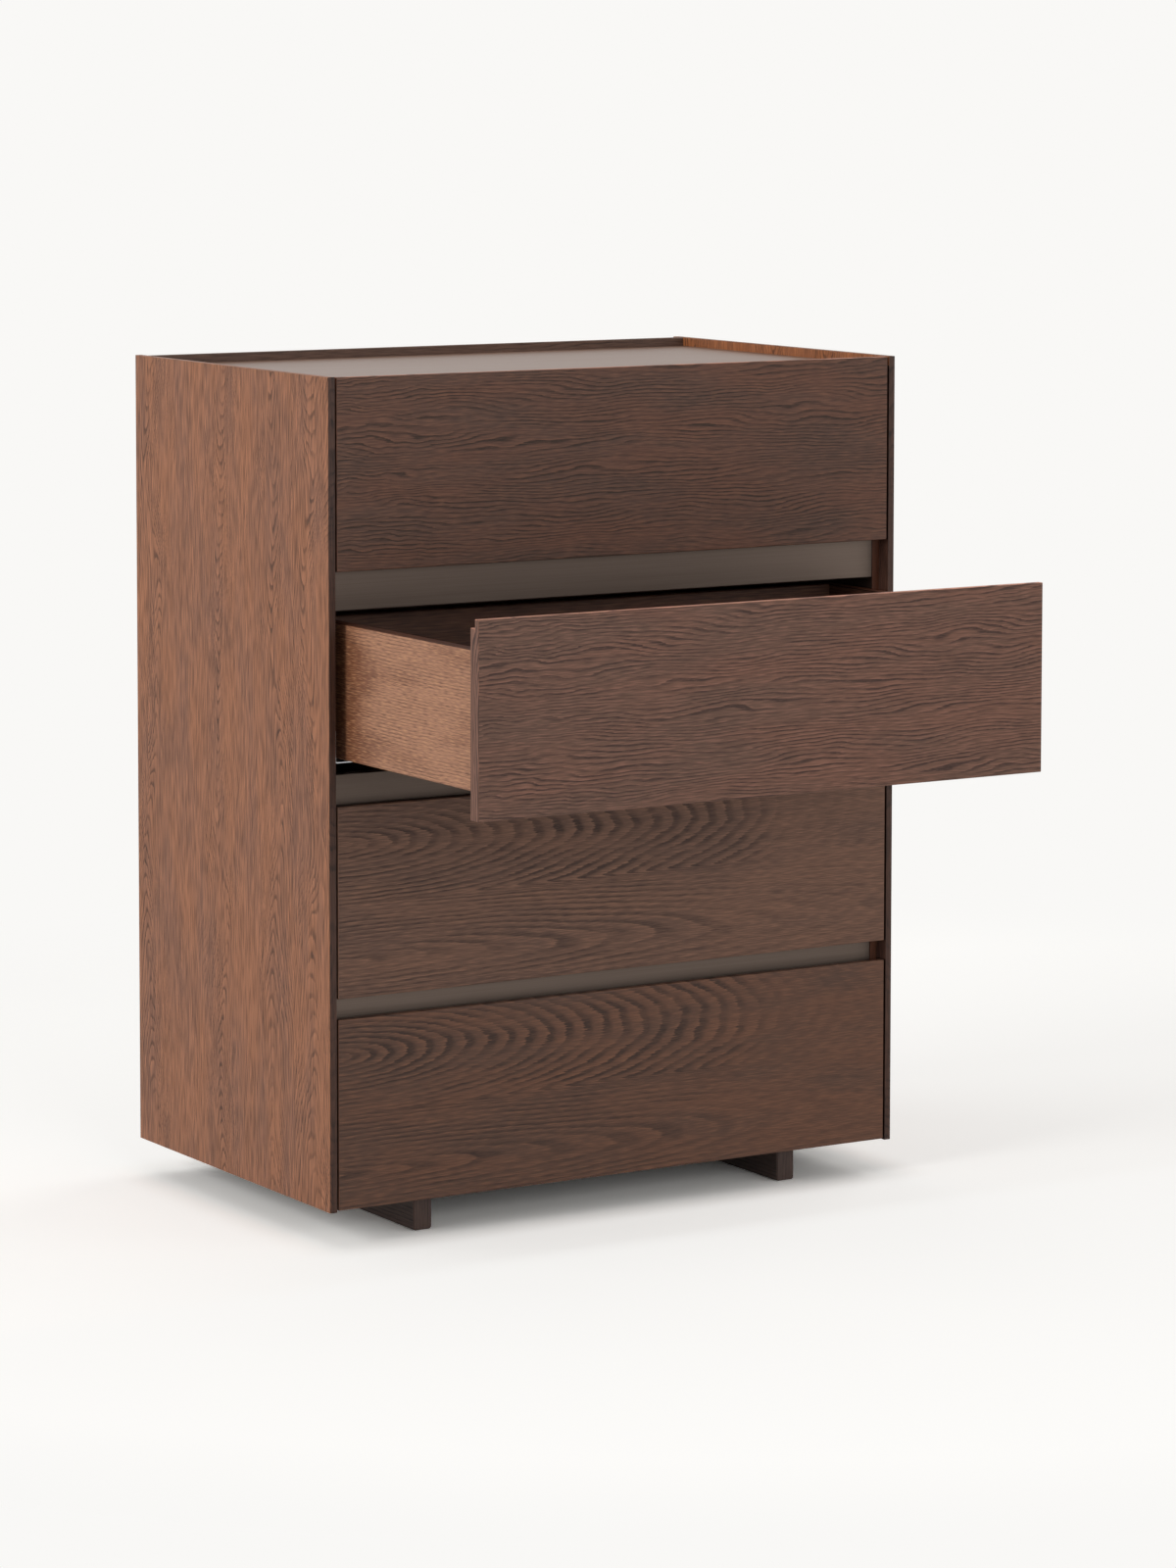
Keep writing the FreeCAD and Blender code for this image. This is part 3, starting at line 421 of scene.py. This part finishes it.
def streaked_finish(name, colours, streaks_per_metre, roughness, metallic=0.0, specular=0.5):
    """Finish whose colour and gloss vary in streaks, this many to a metre along each axis."""
    finish = bpy.data.materials.new(name)
    finish.use_nodes = True
    shader = finish.node_tree.nodes["Principled BSDF"]
    point = add(finish, "ShaderNodeTexCoord", out="Object")
    drawn_out = add(finish, "ShaderNodeMapping", {"Vector": point, "Scale": streaks_per_metre})
    streaks = add(finish, "ShaderNodeTexNoise", {"Vector": drawn_out, "Scale": 1.0, "Detail": 2.0})
    colour = add(finish, "ShaderNodeMix", {0: streaks, 6: linear(colours[0]), 7: linear(colours[1])},
                 out=2, data_type="RGBA")
    dull = add(finish, "ShaderNodeMapRange", {"Value": streaks, "To Min": roughness[0],
                                              "To Max": roughness[1]})
    finish.node_tree.links.new(colour, shader.inputs["Base Color"])
    finish.node_tree.links.new(dull, shader.inputs["Roughness"])
    shader.inputs["Metallic"].default_value = metallic
    shader.inputs["Specular IOR Level"].default_value = specular
    return finish


# Sanding left streaks about 250 mm long and 2 mm wide.
tray_lacquer = streaked_finish("satin_taupe_lacquer", ("#765A4A", "#7E604F"), (4.0, 500.0, 500.0),
                               (0.28, 0.42), specular=0.16)
dress("top_panel", tray_lacquer)


# Skids.
# Two front-to-back bars of solid oak, stained nearly black, screwed up into the bottom.
# Their grain runs from front to back.

skid_oak = oak_veneer("dark_stained_solid_oak_skid", "YZX", ("#4A3830", "#3A2B26", "#42302A", "#1C1412"),
                      straight_figure)
dress("skid_left", skid_oak)
dress("skid_right", skid_oak)


# Metal strips.
# Aluminium sheet folded over the rails between the fronts, brushed along its length and
# finished in a dark taupe. It closes the view into the chest through the finger gaps.

# Brush strokes are about 170 mm long and 0.7 mm wide, drawn wider than real ones so that they show.
strip_metal = streaked_finish("brushed_taupe_aluminium", ("#4E433C", "#5E534C"), (6.0, 1400.0, 1400.0),
                              (0.34, 0.50), metallic=1.0)
for number in (1, 2, 3):
    dress(f"strip_{number}", strip_metal)


# Runners.
# Each side of a drawer has three folded members of galvanised steel sheet: a cabinet rail
# screwed to the side, a middle member, and one under the drawer box.

# The zinc's cloudy patches are about 17 mm wide and 40 mm long.
zinc_sheet = streaked_finish("galvanised_steel_sheet", ("#D2D4D7", "#E2E3E5"), (60.0, 25.0, 60.0),
                             (0.28, 0.44), metallic=1.0)
for number in (1, 2, 3, 4):
    for member in ("cabinet_rails", "middle_rails", "drawer_rails"):
        dress(f"drawer_{number}_{member}", zinc_sheet)


# Fittings.
# Zinc cams and plated bolts pull the boards together, beech dowels keep them in line, and
# cross-recessed screws hold the skids, the runners and the drawer fronts.

def shape_round(name, profile, sides=24):
    """Shapes a round piece about the Z axis from (radius, height) steps that start at its upper end."""
    first_radius, first_height = profile[0]
    bpy.ops.mesh.primitive_circle_add(vertices=sides, radius=first_radius, fill_type="NGON",
                                      location=(0.0, 0.0, first_height))
    piece = bpy.context.active_object
    piece.name = name
    bpy.ops.object.transform_apply(location=True, rotation=True, scale=True)
    bpy.ops.object.mode_set(mode="EDIT")
    bpy.ops.mesh.select_all(action="SELECT")
    for (radius_before, height_before), (radius, height) in zip(profile, profile[1:]):
        step = (0.0, 0.0, height - height_before)
        bpy.ops.mesh.extrude_region_move(TRANSFORM_OT_translate={"value": step})
        share = radius / radius_before
        bpy.ops.transform.resize(value=(share, share, 1.0), center_override=(0.0, 0.0, height))
    bpy.ops.mesh.select_all(action="SELECT")
    bpy.ops.mesh.normals_make_consistent(inside=False)
    bpy.ops.object.mode_set(mode="OBJECT")
    return piece


def cut_away(piece, cutter):
    """Takes a cutter's shape out of a piece."""
    bpy.ops.object.select_all(action="DESELECT")
    bpy.context.view_layer.objects.active = piece
    cut = piece.modifiers.new("cut", "BOOLEAN")
    cut.object = cutter
    cut.operation = "DIFFERENCE"
    cut.solver = "EXACT"
    bpy.ops.object.modifier_apply(modifier="cut")
    bpy.data.objects.remove(cutter)


def cut_cross(piece, upper_end, width, span, depth):
    """Cuts a driver's cross recess into the upper end of a piece."""
    bpy.ops.mesh.primitive_cube_add(size=1.0, location=(0.0, 0.0, upper_end),
                                    scale=(width, width, depth * 2))
    cutter = bpy.context.active_object
    bpy.ops.object.transform_apply(location=True, rotation=True, scale=True)
    bpy.ops.object.mode_set(mode="EDIT")
    bpy.ops.mesh.select_mode(type="FACE")
    bpy.ops.mesh.select_all(action="DESELECT")
    bpy.ops.object.mode_set(mode="OBJECT")
    for face in cutter.data.polygons:
        face.select = abs(face.normal.z) < 0.5
    bpy.ops.object.mode_set(mode="EDIT")
    bpy.ops.mesh.extrude_faces_move(TRANSFORM_OT_shrink_fatten={"value": (span - width) / 2})
    bpy.ops.object.mode_set(mode="OBJECT")
    cut_away(piece, cutter)


def pan_head_screw(name, crown, brow, rim, shank, shoulder, length):
    """Shapes a screw from its head's (radius, height) steps, its shank's radius and its depths."""
    point_radius = 0.0001
    head_foot = (rim[0], 0.0)
    return shape_round(name, (crown, brow, rim, head_foot, (shank, 0.0), (shank, -shoulder),
                              (point_radius, -length)))


def facing_place(point, upwards):
    """Place of a round piece whose upper end faces this way."""
    return Matrix.Translation(point) @ Vector(upwards).to_track_quat("Z", "Y").to_matrix().to_4x4()


def fit_copies(master, name, places, body, replaced):
    """Fits a copy of a finished piece at each place, and joins them as the one piece for a CAD node."""
    copies = []
    for place in places:
        copy = bpy.data.objects.new(name, master.data.copy())
        bpy.context.scene.collection.objects.link(copy)
        copy.data.transform(place)
        copies.append(copy)
    bpy.ops.object.select_all(action="DESELECT")
    for copy in copies:
        copy.select_set(True)
    joined = copies[0]
    bpy.context.view_layer.objects.active = joined
    bpy.ops.object.join()
    bpy.ops.object.shade_smooth_by_angle(angle=math.radians(35))
    bpy.ops.object.select_all(action="DESELECT")
    joined.data.materials.clear()
    joined.data.materials.append(plated_steel)
    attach(joined, body)
    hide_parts(replaced)


# The plating's mottle is about 1 mm wide.
plated_steel = streaked_finish("zinc_plated_screw_steel", ("#B7B8BA", "#CFD0D1"), (900.0, 900.0, 900.0),
                               (0.26, 0.40), metallic=1.0)
dress("cam_bolts", plated_steel)
beech = oak_veneer("raw_beech_dowel", "XZY", ("#DCC19A", "#CDAE84", "#D2AF82", "#B28F66"), straight_figure)
dress("dowels", beech)

# A cam is a die-cast disc with an eased rim, a slot for the driver, and a hollow for the bolt's head.
cam_radius, cam_height, cam_distance = 0.0075, 0.0145, 0.024
cam_rim_ease, cam_foot_ease, cam_sides = 0.0006, 0.0002, 32
slot_width, slot_depth = 0.0025, 0.002
bolt_hollow_radius, bolt_hollow_depth, bolt_height = 0.00315, 0.0105, 0.0095
# The cutters run past the cam's side by this much.
overrun = 0.001
cam = shape_round("cam", ((cam_radius - cam_rim_ease, 0.0), (cam_radius, -cam_rim_ease),
                          (cam_radius, cam_foot_ease - cam_height),
                          (cam_radius - cam_foot_ease, -cam_height)), cam_sides)
slot_length = 2 * (cam_radius + overrun)
bpy.ops.mesh.primitive_cube_add(size=1.0, location=(0.0, 0.0, 0.0),
                                scale=(slot_length, slot_width, slot_depth * 2))
cut_away(cam, bpy.context.active_object)
hollow = shape_round("hollow", ((bolt_hollow_radius, 0.0),
                                (bolt_hollow_radius, -bolt_hollow_depth - overrun)))
hollow.data.transform(facing_place((cam_radius + overrun, 0.0, -bolt_height), (1.0, 0.0, 0.0)))
cut_away(cam, hollow)
cams_low, cams_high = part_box("cam_locks")
cam_places = []
for board in ("top_panel", "bottom_panel"):
    board_low, board_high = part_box(board)
    for y in (cams_low[1] + cam_radius, cams_high[1] - cam_radius):
        for side in (-1, 1):
            overturned = Matrix.Rotation(math.pi, 4, "X" if side > 0 else "Y")
            seat = Matrix.Translation((side * (board_high[0] - cam_distance), y, board_low[2]))
            cam_places.append(seat @ overturned)
fit_copies(cam, "cam_discs", cam_places, "carcass", "cam_locks")

# Skid screws are countersunk, 45 mm long, and go down through the bottom into the skids.
skid_screw_head, skid_screw_sink, skid_screw_shank = 0.0040, 0.0032, 0.0020
skid_screw_shoulder, skid_screw_length, skid_screw_point = 0.036, 0.045, 0.0001
skid_screw = shape_round("skid_screw", ((skid_screw_head, 0.0), (skid_screw_shank, -skid_screw_sink),
                                        (skid_screw_shank, -skid_screw_shoulder),
                                        (skid_screw_point, -skid_screw_length)))
cut_cross(skid_screw, 0.0, width=0.0009, span=0.0042, depth=0.0018)
low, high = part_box("skid_screws")
skid_low, skid_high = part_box("skid_right")
skid_middle = (skid_low[0] + skid_high[0]) / 2
skid_screw_places = [facing_place((side * skid_middle, y, high[2]), (0.0, 0.0, 1.0)) for side in (-1, 1)
                     for y in (low[1] + skid_screw_head, (low[1] + high[1]) / 2, high[1] - skid_screw_head)]
fit_copies(skid_screw, "countersunk_skid_screws", skid_screw_places, "carcass",
           "skid_screws")

# Runner screws have a low pan head on the cabinet rail's inner face.
runner_screw_head, runner_screw_rise = 0.0032, 0.0016
rail_sheet, runner_screw_level = 0.0012, 0.014
runner_screw = pan_head_screw("runner_screw", crown=(0.0020, runner_screw_rise), brow=(0.0029, 0.0013),
                              rim=(runner_screw_head, 0.0007), shank=0.00175, shoulder=0.0082,
                              length=0.0102)
cut_cross(runner_screw, runner_screw_rise, width=0.0008, span=0.0034, depth=0.0010)
low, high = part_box("runner_screws")
runner_screw_places = []
for number in (1, 2, 3, 4):
    rail_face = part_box(f"drawer_{number}_cabinet_rails")[1][0] - rail_sheet
    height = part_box(f"drawer_{number}_box_left")[0][2] + runner_screw_level
    for side in (-1, 1):
        for y in (low[1] + runner_screw_head, high[1] - runner_screw_head):
            runner_screw_places.append(facing_place((side * rail_face, y, height), (-side, 0.0, 0.0)))
fit_copies(runner_screw, "pan_head_runner_screws", runner_screw_places, "carcass",
           "runner_screws")

# Front screws have a taller pan head on the rear face of the drawer's inner front.
front_screw_head, front_screw_rise = 0.0040, 0.0024
front_screw = pan_head_screw("front_screw", crown=(0.0022, front_screw_rise), brow=(0.0034, 0.0020),
                             rim=(front_screw_head, 0.0010), shank=0.0020, shoulder=0.0216, length=0.0270)
cut_cross(front_screw, front_screw_rise, width=0.0009, span=0.0042, depth=0.0014)
for number in (1, 2, 3, 4):
    low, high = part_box(f"drawer_{number}_front_screws")
    front_screw_places = [facing_place((x, high[1] - front_screw_rise, z), (0.0, 1.0, 0.0))
                          for x in (low[0] + front_screw_head, high[0] - front_screw_head)
                          for z in (low[2] + front_screw_head, high[2] - front_screw_head)]
    fit_copies(front_screw, f"pan_head_front_screws_{number}", front_screw_places, f"drawer_{number}",
               f"drawer_{number}_front_screws")
for master in (cam, skid_screw, runner_screw, front_screw):
    bpy.data.objects.remove(master)


# Drawer boxes.
# Four boards in lighter stained oak veneer with fine level grain, glued at the corners,
# with a thin bottom board in a groove all round.

# The side boards' inner faces, and the other boards, are darkened as painted shade, for the box's
# inside lies in shade. The side boards' top edges are made darker too.
box_stain = ("#B68661", "#693E28", "#996D54", "#573B2D")
# Painted shade: the end boards and the bottom take this darker stain.
box_inner_stain_in_painted_shade = ("#6A4A38", "#4C3226", "#543526", "#332018")
# Painted shade: the side boards' inner faces are darkened.
box_inside_painted_shade = (0.17, 0.14, 0.13)
box_top_edge = (0.21, 0.13, 0.09)


def drawer_side_figure_with_painted_shade(front):
    """Straight rings, and painted shade that turns the rear of a drawer side with this front end darker and
    redder.
    """
    # Painted shade: from here back the stain turns darker and redder, as where the carcass shades the side.
    painted_shade_starts, painted_shade_ends = 0.200, 0.310
    front_warmth, rear_painted_shade, clearness = 0.14, -0.12, 0.65

    def figure(oak, along, across):
        behind = add(oak, "ShaderNodeMath", {0: along, 1: front}, operation="SUBTRACT")
        warmth = add(oak, "ShaderNodeMapRange", {"Value": behind, "From Min": painted_shade_starts,
                                                 "From Max": painted_shade_ends, "To Min": front_warmth,
                                                 "To Max": rear_painted_shade},
                     interpolation_type="SMOOTHSTEP")
        return across, clearness, warmth

    return figure


box_end_oak = oak_veneer("stained_oak_drawer_end_in_painted_shade", "XZY", box_inner_stain_in_painted_shade, straight_figure, wander=0.012)
box_floor_oak = oak_veneer("stained_oak_drawer_bottom_in_painted_shade", "XYZ", box_inner_stain_in_painted_shade, straight_figure,
                           wander=0.030)
for number in (1, 2, 3, 4):
    for side, inner_way in (("left", 1.0), ("right", -1.0)):
        board = f"drawer_{number}_box_{side}"
        side_figure = drawer_side_figure_with_painted_shade(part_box(board)[0][1])
        side_board_oak = oak_veneer(f"stained_oak_drawer_{number}_{side}", "YZX", box_stain, side_figure,
                                    ring=0.0038, line=0.30, depth=0.95, wander=0.010,
                                    pore=(0.012, 0.0010), pore_depth=0.40,
                                    faces_with_painted_light_and_shade=((0, inner_way, everywhere, box_inside_painted_shade),
                                                  (2, 1.0, everywhere, box_top_edge)))
        dress(board, side_board_oak)
    dress(f"drawer_{number}_box_front", box_end_oak)
    dress(f"drawer_{number}_box_back", box_end_oak)
    dress(f"drawer_{number}_box_bottom", box_floor_oak)


# Drawer fronts.
# Boards in dark stained oak veneer with level grain, cut away behind the top edge to leave a
# lip for the fingers. The lower two are matched leaves with one large flame near the top.

# Stains differ partly by leaf, partly as painted light: fronts 2 and 3 lighter, 1 and 4 darker.
front_stain_and_painted_light = {
    # front: light, cool, warm, dark
    1: ("#774F3A", "#4D3429", "#5B392A", "#2C1E16"),
    2: ("#8A6151", "#5A4033", "#684637", "#35231D"),
    3: ("#85604B", "#563D31", "#624536", "#33231C"),
    4: ("#7A523C", "#4D3529", "#5A3B2B", "#2D1E17"),
}
# Painted light: the fronts turn warmer and lighter towards the right.
painted_light_to_the_right = 0.22


def wavy_front(top):
    """Figure of fine level lines that sway, and here and there close into tongues and slim eyes."""
    slope = 0.72
    long_sway, short_sway = (0.260, 0.060, 0.034), (0.080, 0.022, 0.007)
    curl_length, curl_width = 0.045, 0.022
    curly_left, curly_until, curly, plain = -0.340, -0.120, 0.009, 0.002

    def figure(oak, along, across):
        down = add(oak, "ShaderNodeMath", {0: top, 1: across}, operation="SUBTRACT")
        spot = add(oak, "ShaderNodeCombineXYZ", {0: along, 1: down})
        field = add(oak, "ShaderNodeMath", {0: down, 1: slope}, operation="MULTIPLY")
        field = swayed(oak, field, spot, *long_sway)
        field = swayed(oak, field, spot, *short_sway)
        curl = add(oak, "ShaderNodeMapRange", {"Value": along, "From Min": curly_left,
                                               "From Max": curly_until, "To Min": curly, "To Max": plain})
        field = swayed(oak, field, spot, curl_length, curl_width, curl)
        # Painted light: warmer and lighter towards the right.
        warmth = add(oak, "ShaderNodeMath", {0: along, 1: painted_light_to_the_right}, operation="MULTIPLY")
        return field, 1.0, warmth

    return figure


def flamed_front(top):
    """Figure of a flame that points right, above slimmer tongues, below this top edge."""
    flame_left, flame_drop, flame_slimness = -0.395, 0.045, 0.20
    tongue_left, tongue_drop, tongue_slimness = -0.450, 0.185, 0.065
    seam_drop, seam_half = 0.115, 0.006
    flame_fades_from, flame_faded_at, flame_faintest = 0.150, 0.240, 0.15
    tongue_fades_from, tongue_faded_at, tongue_clearest, tongue_faintest = 0.020, 0.200, 0.80, 0.25

    def figure(oak, along, across):
        down = add(oak, "ShaderNodeMath", {0: top, 1: across}, operation="SUBTRACT")
        families = []
        for left, drop, slimness in ((flame_left, flame_drop, flame_slimness),
                                     (tongue_left, tongue_drop, tongue_slimness)):
            reach = add(oak, "ShaderNodeMath", {0: along, 1: left}, operation="SUBTRACT")
            reach = add(oak, "ShaderNodeMath", {0: reach, 1: slimness}, operation="MULTIPLY")
            off_middle = add(oak, "ShaderNodeMath", {0: down, 1: drop}, operation="SUBTRACT")
            family = add(oak, "ShaderNodeCombineXYZ", {0: reach, 1: off_middle})
            families.append(add(oak, "ShaderNodeVectorMath", {0: family}, operation="LENGTH", out="Value"))
        below = add(oak, "ShaderNodeMapRange", {"Value": down, "From Min": seam_drop - seam_half,
                                                "From Max": seam_drop + seam_half},
                    interpolation_type="SMOOTHSTEP")
        field = add(oak, "ShaderNodeMix", {0: below, 2: families[0], 3: families[1]}, data_type="FLOAT")
        flame_clear = add(oak, "ShaderNodeMapRange", {"Value": along, "From Min": flame_fades_from,
                                                      "From Max": flame_faded_at, "To Min": 1.0,
                                                      "To Max": flame_faintest})
        tongue_clear = add(oak, "ShaderNodeMapRange", {"Value": along, "From Min": tongue_fades_from,
                                                       "From Max": tongue_faded_at,
                                                       "To Min": tongue_clearest,
                                                       "To Max": tongue_faintest})
        clear = add(oak, "ShaderNodeMix", {0: below, 2: flame_clear, 3: tongue_clear}, data_type="FLOAT")
        # Painted light: warmer and lighter towards the right.
        warmth = add(oak, "ShaderNodeMath", {0: along, 1: painted_light_to_the_right}, operation="MULTIPLY")
        return field, clear, warmth

    return figure


# The upper two fronts' top faces are four times lighter: a painted highlight along their eased top edges.
painted_top_edge_highlight = (2, 1.0, everywhere, (4.0, 3.9, 4.0))
for number in (1, 2):
    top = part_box(f"drawer_{number}_front")[1][2]
    wavy_oak = oak_veneer(f"wavy_dark_oak_front_{number}", "XZY", front_stain_and_painted_light[number], wavy_front(top),
                          ring=0.0036, line=0.30, depth=0.98, wander=0.006, fray=0.012,
                          pore=(0.016, 0.0011), pore_depth=0.26, faces_with_painted_light_and_shade=(painted_top_edge_highlight,))
    dress(f"drawer_{number}_front", wavy_oak)
for number in (3, 4):
    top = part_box(f"drawer_{number}_front")[1][2]
    flamed_oak = oak_veneer(f"flamed_dark_oak_front_{number}", "XZY", front_stain_and_painted_light[number],
                            flamed_front(top), ring=0.0054, line=0.36, depth=0.96, wander=0.010,
                            fray=0.014, pore=(0.018, 0.0011), pore_depth=0.26)
    dress(f"drawer_{number}_front", flamed_oak)
